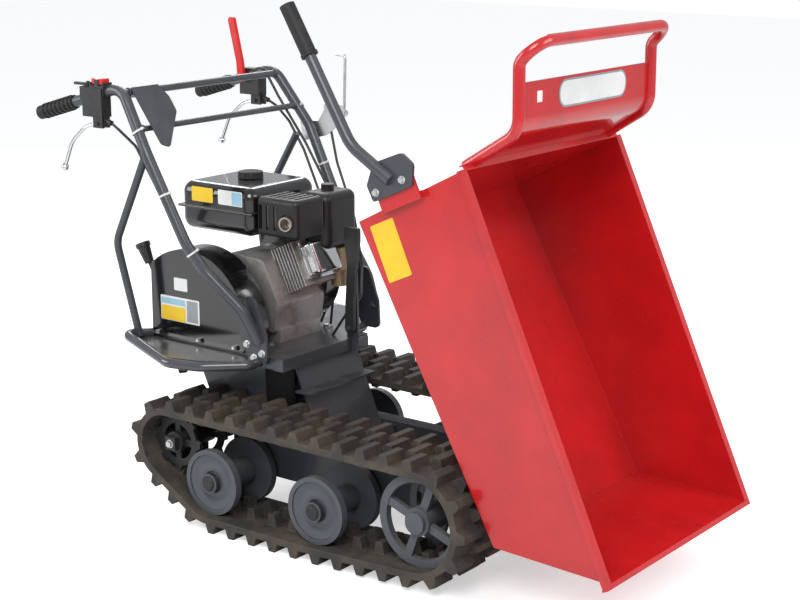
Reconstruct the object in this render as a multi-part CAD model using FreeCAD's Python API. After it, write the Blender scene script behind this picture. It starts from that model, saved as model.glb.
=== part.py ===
import FreeCAD, Part
import math
import os
from FreeCAD import Vector as V

# Tracked power barrow: two rubber-track units under a narrow frame, an engine with belt drive
# behind, a tipping skip in front, and handlebars with their controls.
# Millimetres. +X is forward, +Y is the machine's left, +Z is up, and the ground is at Z = 0.
# X is counted from the rear road wheels while building and centred on the whole machine at export.

# Tracks
PITCH = 60.0                # one link of the belt
LINKS = 33
TRACK_Y = 240.0             # middle of each track from the centre plane
TRACK_WIDTH = 180.0
BELT = 15.0                 # thickness of the belt
LUG = 20.0                  # height of the outer lugs
GUIDE = 25.0                # height of the inner guide lugs
ROAD_R, ROAD_Z = 75.0, BELT + LUG + 75.0
ROAD_X = (0.0, 300.0)
IDLER_R, IDLER_Z = 100.0, 146.0
SPROCKET_X, SPROCKET_Z = -120.0, 178.0
TEETH = 8
PITCH_R = PITCH / 2 / math.sin(math.pi / TEETH)
SPROCKET_R = PITCH_R - BELT / 2     # radius of the belt's inner face on the sprocket
GAP = 0.4                   # wheel treads stand this far off the belt
FIT = 0.05                  # radial running fit of every bearing

# Skip, drawn level with its rear rim at (0, 0), then tipped about its pivot
SKIP_L, SKIP_W, SKIP_T = 845.0, 570.0, 3.0
REAR_DEPTH, FRONT_DEPTH = 292.0, 240.0
RIM = 15.0                  # width of the folded rim
TIP_ANGLE = 65.7
TIPPED_RIM = V(666, 0, 878)         # the rear rim when tipped
PIVOT_LOCAL = V(400, 0, -290)       # the pivot, seen from the rear rim
PIVOT_R = 12.5

# Handlebars
BAR_R = 12.5
BAR_PATH = [(-544, 265, 890), (-290, 258, 964), (-196, 280, 828), (-92, 270, 632),
            (-57, 252, 577), (30, 222, 490), (62, 208, 420)]
GRIP_R = 16.0
LEVER_PIVOT = V(-350, 266, 880)

# Frame
TRAY_Z = 380.0
BEAM = (-60.0, 500.0, 99.0, 179.0)  # track beam: rear, front, bottom, top
AXLE_R, IDLER_AXLE_R, SHAFT_R = 12.5, 15.0, 15.0

# Engine and drive
CRANK = V(-90, 0, 505)
CRANK_R = 10.0
GEAR_IN = V(-205, 0, 462)
COVER_Y = (-185.0, -105.0)
LATCH_PIVOT = V(118, 43, 412)
TRIGGER_PIVOT = V(-104, 298, 862)
DUMP_Y = -308.0
GEAR_LEVER_PIVOT = V(-318, -90, 366)
LOCK_ROD = [(-62, -154, 344), (-176, -196, 318)]

os.makedirs("parts", exist_ok=True)
nodes = {}


# ---------------------------------------------------------------- shapes used by many pieces

def box(x0, x1, y0, y1, z0, z1):
    return Part.makeBox(x1 - x0, y1 - y0, z1 - z0, V(x0, y0, z0))


def rod(a, b, r):
    a, b = V(*a), V(*b)
    return Part.makeCylinder(r, a.distanceToPoint(b), a, b - a)


def y_cyl(x, z, r, y0, y1):
    return Part.makeCylinder(r, y1 - y0, V(x, y0, z), V(0, 1, 0))


def fuse(*shapes):
    solid = shapes[0].multiFuse(list(shapes[1:]))
    return solid.removeSplitter()


def compound(*shapes):
    return Part.makeCompound(list(shapes))


def mirrored(shape):
    return shape.mirror(V(0, 0, 0), V(0, 1, 0))


def rounded_wire(points, radii, closed):
    """Straight edges through the points, with an arc of the given radius at each corner."""
    pts = [V(*p) for p in points]
    n = len(pts)
    if not isinstance(radii, (list, tuple)):
        radii = [radii] * n
    ends = []
    for i, p in enumerate(pts):
        if (not closed and i in (0, n - 1)) or radii[i] <= 0:
            ends.append((p, p, None))
            continue
        to_prev = (pts[i - 1] - p).normalize()
        to_next = (pts[(i + 1) % n] - p).normalize()
        half = to_prev.getAngle(to_next) / 2
        reach = radii[i] / math.tan(half)
        middle = (to_prev + to_next).normalize() * (radii[i] / math.sin(half) - radii[i])
        ends.append((p + to_prev * reach, p + to_next * reach, p + middle))
    edges = []
    for i in range(n):
        start, stop, mid = ends[i]
        if mid is not None:
            edges.append(Part.Arc(start, mid, stop).toShape())
        if closed or i < n - 1:
            nxt = ends[(i + 1) % n][0]
            if stop.distanceToPoint(nxt) > 1e-6:
                edges.append(Part.LineSegment(stop, nxt).toShape())
    return Part.Wire(edges)


def tube(points, r, bend):
    """A round bar or pipe along straight runs joined by tangent arcs."""
    path = rounded_wire(points, bend, closed=False)
    first = V(*points[0])
    ring = Part.Wire(Part.makeCircle(r, first, V(*points[1]) - first))
    return path.makePipeShell([ring], True, False)


def xz_plate(points, radii, y0, y1):
    """A plate with its outline in the X-Z plane, from y0 to y1."""
    wire = rounded_wire([(x, y0, z) for x, z in points], radii, closed=True)
    return Part.Face(wire).extrude(V(0, y1 - y0, 0))


def yz_plate(points, radii, x0, x1):
    wire = rounded_wire([(x0, y, z) for y, z in points], radii, closed=True)
    return Part.Face(wire).extrude(V(x1 - x0, 0, 0))


def xy_plate(points, radii, z0, z1):
    wire = rounded_wire([(x, y, z0) for x, y in points], radii, closed=True)
    return Part.Face(wire).extrude(V(0, 0, z1 - z0))


def rounded_box(x0, x1, y0, y1, z0, z1, r):
    solid = box(x0, x1, y0, y1, z0, z1)
    return solid.makeFillet(r, solid.Edges)


def hex_bolt(at, axis, size):
    """A hexagon head with its washer, standing on a surface."""
    at, axis = V(*at), V(*axis).normalize()
    corners = [V(size * math.cos(math.radians(60 * k)), size * math.sin(math.radians(60 * k)), 0)
               for k in range(7)]
    head = Part.Face(Part.makePolygon(corners)).extrude(V(0, 0, size * 0.8))
    washer = Part.makeCylinder(size * 1.25, 1.5)
    head.translate(V(0, 0, 1.5))
    bolt = fuse(head, washer)
    turn = FreeCAD.Rotation(V(0, 0, 1), axis)
    bolt.Placement = FreeCAD.Placement(at, turn)
    return bolt


# ---------------------------------------------------------------- the closed loop of a track

def loop_segments(wheels, offset):
    """Lines and arcs round the wheels, counter-clockwise from above +X, as (kind, data, length)."""
    count = len(wheels)
    normals = []
    for i in range(count):
        (x1, z1, r1), (x2, z2, r2) = wheels[i], wheels[(i + 1) % count]
        dx, dz = x2 - x1, z2 - z1
        span = math.hypot(dx, dz)
        dx, dz = dx / span, dz / span
        along = (r1 - r2) / span
        across = math.sqrt(1 - along * along)
        normals.append((dx * along + dz * across, dz * along - dx * across))
    segments = []
    for i, (x, z, r) in enumerate(wheels):
        r += offset
        n0, n1 = normals[i - 1], normals[i]
        a0 = math.atan2(n0[1], n0[0])
        sweep = (math.atan2(n1[1], n1[0]) - a0) % (2 * math.pi)
        if sweep > 1e-9:
            segments.append(("arc", (x, z, r, a0, sweep), r * sweep))
        x2, z2, r2 = wheels[(i + 1) % count]
        p = (x + r * n1[0], z + r * n1[1])
        q = (x2 + (r2 + offset) * n1[0], z2 + (r2 + offset) * n1[1])
        segments.append(("line", (p, q), math.hypot(q[0] - p[0], q[1] - p[1])))
    return segments


def wheel_circles(idler_x):
    return [(ROAD_X[0], ROAD_Z, ROAD_R), (ROAD_X[1], ROAD_Z, ROAD_R),
            (idler_x, IDLER_Z, IDLER_R), (SPROCKET_X, SPROCKET_Z, SPROCKET_R)]


def tension_idler():
    """The idler's place that makes the belt a whole number of links long."""
    low, high = 450.0, 700.0
    for _ in range(60):
        middle = (low + high) / 2
        length = sum(s[2] for s in loop_segments(wheel_circles(middle), BELT / 2))
        if length < PITCH * LINKS:
            low = middle
        else:
            high = middle
    return low


IDLER_X = tension_idler()
LOOP = wheel_circles(IDLER_X)


def loop_face(offset):
    edges = []
    for kind, data, _ in loop_segments(LOOP, offset):
        if kind == "line":
            (x1, z1), (x2, z2) = data
            edges.append(Part.LineSegment(V(x1, 0, z1), V(x2, 0, z2)).toShape())
        else:
            x, z, r, a0, sweep = data
            on = [V(x + r * math.cos(a0 + sweep * t), 0, z + r * math.sin(a0 + sweep * t))
                  for t in (0, 0.5, 1)]
            edges.append(Part.Arc(*on).toShape())
    return Part.Face(Part.Wire(edges))


def loop_place(distance):
    """The point on the belt's inner face at a distance along the pitch line, and its outward angle."""
    pitch_line = loop_segments(LOOP, BELT / 2)
    inner = loop_segments(LOOP, 0.0)
    for (kind, _, length), (_, data, _) in zip(pitch_line, inner):
        if distance <= length:
            t = distance / length
            if kind == "line":
                (x1, z1), (x2, z2) = data
                angle = math.atan2(z2 - z1, x2 - x1) - math.pi / 2
                return x1 + (x2 - x1) * t, z1 + (z2 - z1) * t, angle
            x, z, r, a0, sweep = data
            angle = a0 + sweep * t
            return x + r * math.cos(angle), z + r * math.sin(angle), angle
        distance -= length
    return loop_place(distance)


def lug_at(distance, y0, y1, out0, out1, foot, crown):
    """A tapered rubber block across the belt, between two heights above the belt's inner face."""
    x, z, angle = loop_place(distance % (PITCH * LINKS))
    block = xz_plate([(out0, -foot / 2), (out1, -crown / 2), (out1, crown / 2), (out0, foot / 2)],
                     0, y0, y1)
    block.rotate(V(0, 0, 0), V(0, 1, 0), -math.degrees(angle))
    block.translate(V(x, 0, z))
    return block


def rubber_track():
    half = TRACK_WIDTH / 2
    belt = loop_face(BELT).extrude(V(0, TRACK_WIDTH, 0)).cut(loop_face(0).extrude(V(0, TRACK_WIDTH, 0)))
    belt.translate(V(0, -half, 0))
    blocks = []
    for i in range(LINKS):
        s = i * PITCH
        top = BELT + LUG
        blocks.append(lug_at(s, -half, -28, BELT - 3, top, 32, 16))
        blocks.append(lug_at(s, 28, half, BELT - 3, top, 32, 16))
        blocks.append(lug_at(s + PITCH / 2, -32, 32, BELT - 3, top, 32, 16))
        for side in (-1, 1):
            near, far = sorted((side * 14, side * 38))
            blocks.append(lug_at(s + PITCH / 4, near, far, -GUIDE, 3, 16, 28))
    track = belt.multiFuse(blocks)
    track.translate(V(0, TRACK_Y, 0))
    return track


# ---------------------------------------------------------------- wheels of the tracks

def road_wheel(x):
    """Two dished discs on a hub, with a closed cap over the end of the axle."""
    y = TRACK_Y
    wheel = fuse(y_cyl(x, ROAD_Z, 30, y - 60, y + 60),
                 y_cyl(x, ROAD_Z, ROAD_R - GAP, y + 50, y + 68),
                 y_cyl(x, ROAD_Z, ROAD_R - GAP, y - 68, y - 50),
                 y_cyl(x, ROAD_Z, 22, y + 58, y + 76))
    dish = y_cyl(x, ROAD_Z, 64, y + 56, y + 69).cut(y_cyl(x, ROAD_Z, 22, y + 50, y + 70))
    back = y_cyl(x, ROAD_Z, 64, y - 69, y - 56).cut(y_cyl(x, ROAD_Z, 26, y - 70, y - 50))
    return wheel.cut(dish).cut(back).cut(y_cyl(x, ROAD_Z, AXLE_R + FIT, y - 70, y + 64))


def idler_wheel():
    """A pair of four-spoked rims on one hub."""
    y, x, z = TRACK_Y, IDLER_X, IDLER_Z
    pieces = [y_cyl(x, z, 30, y - 64, y + 66), y_cyl(x, z, 23, y + 66, y + 76)]
    for side in (-1, 1):
        near, far = sorted((side * 44, side * 60))
        pieces.append(y_cyl(x, z, IDLER_R - GAP, y + near, y + far).cut(y_cyl(x, z, 82, y + near, y + far)))
        for k in range(4):
            spoke = box(20, 85, y + near + 2, y + far - 2, -9, 9)
            spoke.rotate(V(0, 0, 0), V(0, 1, 0), 90 * k + 20)
            spoke.translate(V(x, 0, z))
            pieces.append(spoke)
    return fuse(*pieces).cut(y_cyl(x, z, IDLER_AXLE_R + FIT, y - 70, y + 68))


def sprocket():
    """Two toothed plates on a hub, and the half shaft that comes out of the gearbox."""
    y, x, z = TRACK_Y, SPROCKET_X, SPROCKET_Z
    pieces = [y_cyl(x, z, 24, y - 56, y + 58), y_cyl(x, z, SHAFT_R, 76, y - 50),
              box(x - 15, x + 15, y + 56, y + 72, z - 15, z + 15)]
    for y0 in (y - 47, y + 39):
        pieces.append(y_cyl(x, z, 58, y0, y0 + 8).cut(y_cyl(x, z, 42, y0, y0 + 8)))
        for k in range(TEETH):
            tooth = xz_plate([(54, -13), (67.5, -7), (67.5, 7), (54, 13)], 0, y0, y0 + 8)
            arm = box(20, 46, y0 + 1, y0 + 7, -7, 7)
            for piece in (tooth, arm) if k % 2 == 0 else (tooth,):
                piece.rotate(V(0, 0, 0), V(0, 1, 0), 360.0 / TEETH * k)
                piece.translate(V(x, 0, z))
                pieces.append(piece)
    return fuse(*pieces)


# ---------------------------------------------------------------- frames

def track_frame():
    """The beam between the wheels of one side, with the stub axles of its wheels."""
    rear, front, bottom, top = BEAM
    y0, y1 = 125, 165
    beam = box(rear, front, y0, y1, bottom, top).cut(
        box(rear - 1, front + 1, y0 + 4, y1 - 4, bottom + 4, top - 4))
    pieces = [beam]
    for x in ROAD_X:
        pieces.append(y_cyl(x, ROAD_Z, AXLE_R, y0, TRACK_Y + 62))
        pieces.append(y_cyl(x, ROAD_Z, 20, y1 - 2, y1 + 5))
    pieces.append(box(front - 60, IDLER_X + 12, y0 + 3, y1 - 3, IDLER_Z - 15, IDLER_Z + 15))
    pieces.append(y_cyl(IDLER_X, IDLER_Z, 22, y0 + 3, y1 + 6))
    pieces.append(y_cyl(IDLER_X, IDLER_Z, IDLER_AXLE_R, y0 + 8, TRACK_Y + 66))
    return fuse(*pieces)


def pivot_point():
    return tipped(Part.Vertex(PIVOT_LOCAL)).Point


def upper_frame():
    """The welded frame: engine tray, skirts down to the track beams, cross tubes and pivot posts."""
    tray = box(-300, 112, -188, 115, TRAY_Z, TRAY_Z + 4).cut(box(-262, -150, -88, -40, 370, 390))
    pieces = [tray, box(85, 112, -188, 115, TRAY_Z - 24, TRAY_Z),
              box(-300, -276, -188, 115, TRAY_Z - 22, TRAY_Z),
              box(-276, 85, -188, -166, TRAY_Z - 22, TRAY_Z), box(-276, 85, 93, 115, TRAY_Z - 22, TRAY_Z)]
    pieces.append(xz_plate([(-205, TRAY_Z), (25, TRAY_Z), (20, 178), (-58, 178), (-150, 262)], 0, -147, -142))
    pieces.append(xz_plate([(-205, TRAY_Z - 22), (25, TRAY_Z - 22), (20, 178), (-58, 178), (-150, 262)], 0,
                           142, 147))
    pieces.append(box(-205, 25, 93, 147, TRAY_Z - 27, TRAY_Z - 22))
    pieces.append(xz_plate([(88, TRAY_Z - 20), (93, TRAY_Z - 20), (170, 172), (165, 172)], 0, -124, 95))
    pieces.append(box(108, 150, -142, 95, 298, 303))
    pieces.append(box(150, 190, -126, 126, 120, 172))
    pieces.append(box(430, 470, -126, 126, 110, 168))
    pieces.append(box(188, 432, -25, 25, 125, 165))
    pivot = pivot_point()
    for side in (-1, 1):
        y0, y1 = sorted((side * 100, side * 108))
        post = xz_plate([(500, 150), (620, 150), (pivot.x + 24, pivot.z - 10), (pivot.x + 24, pivot.z + 22),
                         (pivot.x - 24, pivot.z + 22), (pivot.x - 24, pivot.z - 10)],
                        [0, 0, 20, 18, 18, 20], y0, y1)
        pieces.append(post.cut(y_cyl(pivot.x, pivot.z, PIVOT_R, y0 - 1, y1 + 1)))
        low, high = sorted((side * 100, side * 126))
        pieces.append(box(470, 500, low, high, 130, 165))
        pieces.append(box(500, 512, low, high, 130, 165))
    pieces.append(box(500, 620, -126, 126, 145, 151))
    pieces.append(box(500, 506, -108, 108, 150, 200))
    return fuse(*pieces, *latch_post(), *lever_supports())


def latch_post():
    """The upright for the skip latch, with the pin that its hook turns on."""
    x, z = LATCH_PIVOT.x, LATCH_PIVOT.z
    post = xz_plate([(x - 20, TRAY_Z - 10), (x + 8, TRAY_Z - 10), (x + 12, 400), (x + 8, 545), (x - 10, 545),
                     (x - 20, 400)],
                    [0, 0, 0, 8, 8, 0], 56, 62)
    foot = box(90, x + 8, 56, 100, TRAY_Z - 24, TRAY_Z + 2)
    pin = y_cyl(x, z, 6, 34, 62)
    return [post, foot, pin]


def lever_supports():
    """The gear lever's bracket and pin on the rear beam, and the guide of the lock rod."""
    x, y, z = GEAR_LEVER_PIVOT
    bracket = xz_plate([(-298, TRAY_Z - 2), (-298, TRAY_Z - 22), (x, z - 12), (x - 12, z), (x, z + 12)],
                       [0, 0, 10, 8, 10], y + 6, y + 12)
    pin = y_cyl(x, z, 5, y - 8, y + 12)
    start, end = V(*LOCK_ROD[0]), V(*LOCK_ROD[1])
    along = (end - start).normalize()
    guide = fuse(Part.makeCylinder(10, 22, start + along * 28, along), box(-106, -90, -168, -144, 328, 343))
    return [bracket, pin, guide.cut(Part.makeCylinder(5 + FIT, 100, start, along))]


def side_steps():
    """A bent tube round each side of the tray, with the sheet-metal step welded inside it."""
    right = tube([(-288, -190, 386), (-308, -258, 394), (-118, -314, 368), (-40, -296, 368), (52, -232, 372),
                  (56, -200, 374)], 11, [0, 26, 40, 60, 22, 0])
    left = tube([(-288, 116, 386), (-308, 252, 394), (-118, 312, 368), (-40, 292, 368), (40, 190, 372),
                 (44, 116, 372)], 11, [0, 26, 40, 60, 22, 0])
    right_sheet = xy_plate([(-296, -188), (-300, -252), (-118, -310), (-44, -290), (44, -230), (44, -188)],
                           [0, 8, 30, 40, 10, 0], TRAY_Z - 3, TRAY_Z)
    left_sheet = xy_plate([(-296, 115), (-300, 248), (-118, 306), (-44, 286), (34, 186), (34, 115)],
                          [0, 8, 30, 40, 10, 0], TRAY_Z - 3, TRAY_Z)
    return compound(fuse(right, right_sheet), fuse(left, left_sheet))


# ---------------------------------------------------------------- handlebars

def handlebar():
    """One bent tube from the grip down to a folded foot that is bolted beside the tray."""
    bar = tube(BAR_PATH, BAR_R, [0, 45, 120, 150, 120, 60, 0])
    foot = xz_plate([(20, 520), (48, 516), (78, 440), (82, 372), (30, 372), (4, 424), (2, 470)],
                    [10, 14, 20, 14, 14, 14, 14], 199, 205)
    return fuse(bar, foot)


def crossbars():
    upper = rod((-281, -257, 952), (-281, 257, 952), 8.5)
    lower = rod((-228, -272, 876), (-228, 272, 876), 7)
    bar = handlebar()
    return compound(upper.cut(bar).cut(mirrored(bar)), lower.cut(bar).cut(mirrored(bar)))


def rear_strut():
    return tube([(-222, 262, 808), (-335, 247, 606), (-292, 226, 384)], 9, [0, 60, 0])


def control_panel():
    """A folded gusset in the right-hand corner of the crossbars, its top bent over the upper bar."""
    lean = math.degrees(math.atan2(53, 76))
    face = yz_plate([(-250, 6), (-166, 6), (-150, -28), (-150, -66), (-222, -150), (-244, -140)],
                    [0, 6, 20, 14, 8, 8], 0, 3)
    lid = box(-44, 3, -250, -166, 3, 6)
    panel = fuse(face, lid)
    panel.rotate(V(0, 0, 0), V(0, 1, 0), -lean)
    panel.translate(V(-266, 0, 958))
    return panel.cut(mirrored(handlebar())).common(box(-400, 0, -300, -100, 700, 1000))


def hand_grip():
    """A rubber sleeve with finger ridges over the end of the bar."""
    start, end = V(*BAR_PATH[0]), V(*BAR_PATH[1])
    along = (end - start).normalize()
    sleeve = Part.makeCylinder(GRIP_R, 118, start - along * 6, along)
    for k in range(7):
        sleeve = sleeve.fuse(Part.makeCylinder(GRIP_R + 2, 6, start + along * (12 + 14 * k), along))
    return sleeve.cut(handlebar())


def lever_perch():
    """The clamp on the bar, with the two ears that hold the lever's pin."""
    x, y, z = LEVER_PIVOT
    body = box(x - 46, x + 16, y - 17, y + 13, z + 14, z + 79)
    ears = [box(x - 14, x + 16, y - 12, y - 5, z - 10, z + 20),
            box(x - 14, x + 16, y + 5, y + 12, z - 10, z + 20)]
    pin = y_cyl(x, z, 4, y - 16, y + 16)
    barrel = rod((x + 14, y, z + 8), (x + 34, y, z + 2), 6)
    bracket = box(x + 10, x + 18, y - 6, y + 6, z - 2, z + 20)
    return fuse(body, *ears, pin, barrel, bracket).cut(handlebar())


def steering_lever():
    """A curved hand lever with a ball end, pulled up towards the grip."""
    x, y, z = LEVER_PIVOT
    blade = tube([(x - 4, y, z), (x - 52, y, z - 12), (x - 98, y, z - 50), (x - 124, y, z - 108)], 4.3,
                 [0, 60, 70, 0])
    eye = y_cyl(x, z, 8.5, y - 4.6, y + 4.6)
    ball = Part.makeSphere(9, V(x - 126, y, z - 112))
    return fuse(blade, eye, ball).cut(y_cyl(x, z, 4 + FIT, y - 6, y + 6))


# ---------------------------------------------------------------- controls on the handlebars

CLUTCH_PIVOT = V(-376, 236, 936)
THROTTLE_PIVOT = V(-392, -262, 966)
SWITCH_PIVOT = V(-352, -262, 968)


def clutch_lever():
    x, y, z = CLUTCH_PIVOT
    blade = xz_plate([(x - 10, z - 10), (x + 10, z - 10), (x + 4, z + 40), (x - 22, z + 150), (x - 40, z + 146),
                      (x - 14, z + 40)], [9, 9, 30, 8, 8, 30], y - 5, y + 5)
    return blade.cut(y_cyl(x, z, 4 + FIT, y - 8, y + 8))


def left_perch():
    """The left clamp carries the pin of the clutch lever as well."""
    x, y, z = CLUTCH_PIVOT
    pin = y_cyl(x, z, 4, y - 9, y + 16)
    boss = y_cyl(x, z, 10, y + 5.4, y + 16)
    return fuse(lever_perch(), pin, boss).cut(handlebar())


def right_perch():
    """The right clamp has the switch housing on top, with the throttle's pin."""
    perch = mirrored(lever_perch())
    sx, sy, sz = SWITCH_PIVOT
    housing = box(sx - 22, sx + 22, sy - 14, sy + 14, sz - 26, sz - 3)
    well = [box(sx - 22, sx - 18, sy - 14, sy + 14, sz - 3, sz + 4),
            box(sx + 18, sx + 22, sy - 14, sy + 14, sz - 3, sz + 4)]
    well += [box(sx - 6, sx + 6, sy + side * 12.7 - 1.3, sy + side * 12.7 + 1.3, sz - 3, sz + 11)
             for side in (-1, 1)]
    well.append(y_cyl(sx, sz + 7, 2, sy - 14, sy + 14))
    tx, ty, tz = THROTTLE_PIVOT
    base = fuse(box(tx - 14, tx + 20, ty - 14, ty + 14, tz - 34, tz - 5.4),
                Part.makeCylinder(4, 14, V(tx, ty, tz - 8)))
    return fuse(perch, housing, *well, base).cut(mirrored(handlebar()))


def throttle_lever():
    x, y, z = THROTTLE_PIVOT
    arm = fuse(Part.makeCylinder(10, 8, V(x, y, z - 5)), box(x - 42, x, y - 5, y + 5, z - 4, z + 2))
    return arm.cut(Part.makeCylinder(4 + FIT, 20, V(x, y, z - 10)))


def stop_switch():
    x, y, z = SWITCH_PIVOT
    rocker = xz_plate([(x - 17, z), (x + 17, z), (x + 17, z + 14), (x, z + 10), (x - 17, z + 14)],
                      [2, 2, 3, 8, 3], y - 11, y + 11)
    return rocker.cut(y_cyl(x, z + 7, 2 + FIT, y - 12, y + 12))


# ---------------------------------------------------------------- engine

def crankcase():
    x, z = CRANK.x, CRANK.z
    case = xz_plate([(x - 78, z - 96), (x + 92, z - 96), (x + 104, z - 30), (x + 60, z + 70), (x - 50, z + 74),
                     (x - 84, z + 20)], [8, 8, 20, 24, 24, 20], -88, 78)
    foot = box(x - 92, x + 100, -76, 66, TRAY_Z + 4, z - 90)
    return fuse(case, foot).cut(y_cyl(x, z, CRANK_R + FIT, -90, -30))


HEAD_TILT = 25.0            # the cylinder leans forward from level by this much


def leaned(shape):
    """Turn a shape drawn with the cylinder along +X about the crank, up by the cylinder's lean."""
    shape.rotate(V(0, 0, 0), V(0, 1, 0), -HEAD_TILT)
    shape.translate(CRANK)
    return shape


def cylinder():
    """Cylinder and head with cooling fins all the way along."""
    core = box(60, 158, -34, 50, -38, 42)
    fins = [box(80 + 9 * k, 83 + 9 * k, -48, 64, -52, 54) for k in range(8)]
    return leaned(fuse(core, *fins)).cut(crankcase())


def rocker_cover():
    cover = rounded_box(158, 188, -34, 50, -36, 40, 8)
    flange = box(158, 162, -40, 56, -42, 46)
    return leaned(fuse(cover, flange))


def fuel_tank():
    tank = rounded_box(-262, -40, -112, 118, 626, 738, 26)
    seam = rounded_box(-266, -36, -116, 122, 678, 684, 2.5)
    return fuse(tank, seam)


def fuel_cap():
    cap = Part.makeCylinder(30, 14, V(-150, 10, 740))
    rim = Part.makeCylinder(26, 12, V(-150, 10, 730))
    return fuse(cap, rim).cut(fuel_tank())


def muffler():
    can = rounded_box(-26, 78, -92, -12, 640, 712, 14)
    outlet = Part.makeCylinder(16, 26, V(58, -92, 672), V(0.2, -1, 0))
    bore = Part.makeCylinder(13, 30, V(58, -90, 672), V(0.2, -1, 0))
    return fuse(can, outlet).cut(bore)


def muffler_guard():
    """A pressed shield round the muffler, with slots through its top and near face."""
    shell = rounded_box(-34, 86, -104, -4, 634, 724, 12).cut(rounded_box(-29, 81, -99, -6, 600, 719, 10))
    shell = shell.cut(box(-30, 82, -20, 10, 634, 716))
    slots = [box(-26 + 22 * k, -16 + 22 * k, -110, -90, 650, 706) for k in range(3)]
    slots += [box(-26 + 18 * k, -18 + 18 * k, -90, -16, 715, 730) for k in range(6)]
    shell = shell.cut(compound(*slots)).cut(y_cyl(58, 672, 20, -120, -90))
    return shell


def air_cleaner():
    """The filter housing, with the knob that holds its cover."""
    cover = rounded_box(0, 84, 4, 118, 592, 724, 20)
    knob = Part.makeCylinder(15, 18, V(42, 58, 720))
    return fuse(cover, knob).cut(muffler_guard())


def carburettor():
    body = fuse(box(40, 84, 52, 104, 540, 592), rod((60, 78, 542), (60, 78, 500), 20))
    return body.cut(cylinder()).cut(rocker_cover())


def recoil_cover():
    """Fan housing and starter on the far side of the crankshaft."""
    x, z = CRANK.x, CRANK.z
    fan = y_cyl(x, z, 112, 78, 126).cut(box(-400, 400, 70, 130, 300, TRAY_Z + 12))
    starter = y_cyl(x, z, 78, 126, 152)
    eye = rod((x - 20, 152, z + 96), (x - 20, 120, z + 96), 10)
    hole = rod((x - 20, 160, z + 96), (x - 20, 132, z + 96), 3 + FIT)
    return fuse(fan, starter, eye).cut(hole)


def recoil_handle():
    x, z = CRANK.x, CRANK.z
    grip = fuse(box(x - 52, x + 12, 160, 176, z + 88, z + 104))
    grip = grip.makeFillet(5, grip.Edges)
    return fuse(grip, rod((x - 20, 162, z + 96), (x - 20, 134, z + 96), 3))


# ---------------------------------------------------------------- belt drive and gearbox

def pulley(at, r, y0, y1, shaft_r, shaft_y):
    wheel = y_cyl(at.x, at.z, r, y0, y1)
    groove = y_cyl(at.x, at.z, r + 1, y0 + 4, y1 - 4).cut(y_cyl(at.x, at.z, r - 9, y0, y1))
    return fuse(wheel.cut(groove), y_cyl(at.x, at.z, shaft_r, y0, shaft_y))


ENGINE_PULLEY_R, GEAR_PULLEY_R = 34.0, 62.0


def drive_belt():
    """The V-belt runs round both pulleys just clear of their grooves."""
    a, b = ENGINE_PULLEY_R - 8, GEAR_PULLEY_R - 8
    wheels = [(CRANK.x, CRANK.z), (GEAR_IN.x, GEAR_IN.z)]
    rings = []
    for grow in (9.0, 0.5):
        circles = [(wheels[1][0], wheels[1][1], b + grow), (wheels[0][0], wheels[0][1], a + grow)]
        edges = []
        for kind, data, _ in loop_segments(circles, 0.0):
            if kind == "line":
                (x1, z1), (x2, z2) = data
                edges.append(Part.LineSegment(V(x1, -141, z1), V(x2, -141, z2)).toShape())
            else:
                x, z, r, a0, sweep = data
                on = [V(x + r * math.cos(a0 + sweep * t), -141, z + r * math.sin(a0 + sweep * t))
                      for t in (0, 0.5, 1)]
                edges.append(Part.Arc(*on).toShape())
        rings.append(Part.Face(Part.Wire(edges)))
    return rings[0].cut(rings[1]).extrude(V(0, 10, 0))


def gearbox():
    """The transmission hangs under the tray, its input neck coming up through it."""
    case = rounded_box(-196, -58, -58, 58, 122, 352, 12)
    neck = xz_plate([(-250, 440), (-160, 440), (-150, 352), (-196, 300), (-240, 400)], 0, -84, -46)
    head = y_cyl(GEAR_IN.x, GEAR_IN.z, 32, -84, -44)
    pieces = [case, neck, head]
    for side in (-1, 1):
        y0, y1 = sorted((side * 50, side * 126))
        pieces.append(y_cyl(SPROCKET_X, SPROCKET_Z, 30, y0, y1))
    body = fuse(*pieces)
    for side in (-1, 1):
        y0, y1 = sorted((side * 70, side * 130))
        body = body.cut(y_cyl(SPROCKET_X, SPROCKET_Z, SHAFT_R + FIT, y0, y1))
    return body.cut(y_cyl(GEAR_IN.x, GEAR_IN.z, 10 + FIT, -90, -60))


def cover_outline(inset):
    """The belt cover is flat below and behind, and round over the pulleys."""
    x, z, r = -172.0, 424.0, 172.0 - inset
    left, low = -290.0 + inset, TRAY_Z + 8 + inset
    a = math.acos((left - x) / r)
    b = math.asin((low - z) / r)
    start = V(left, 0, z + r * math.sin(a))
    middle = V(x + r * math.cos(0.5 * (a + b)), 0, z + r * math.sin(0.5 * (a + b)))
    end = V(x + r * math.cos(b), 0, low)
    corner = V(left, 0, low)
    edges = [Part.Arc(start, middle, end).toShape(), Part.LineSegment(end, corner).toShape(),
             Part.LineSegment(corner, start).toShape()]
    return Part.Face(Part.Wire(edges))


def belt_cover():
    y0, y1 = COVER_Y
    outer = cover_outline(0).extrude(V(0, y1 - y0, 0))
    inner = cover_outline(3).extrude(V(0, y1 - y0 - 3, 0))
    outer.translate(V(0, y0, 0))
    inner.translate(V(0, y0 + 3, 0))
    flange = box(-300, 0, y0 - 10, y0 + 4, TRAY_Z + 4, TRAY_Z + 8)
    return fuse(outer.cut(inner), flange)


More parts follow.
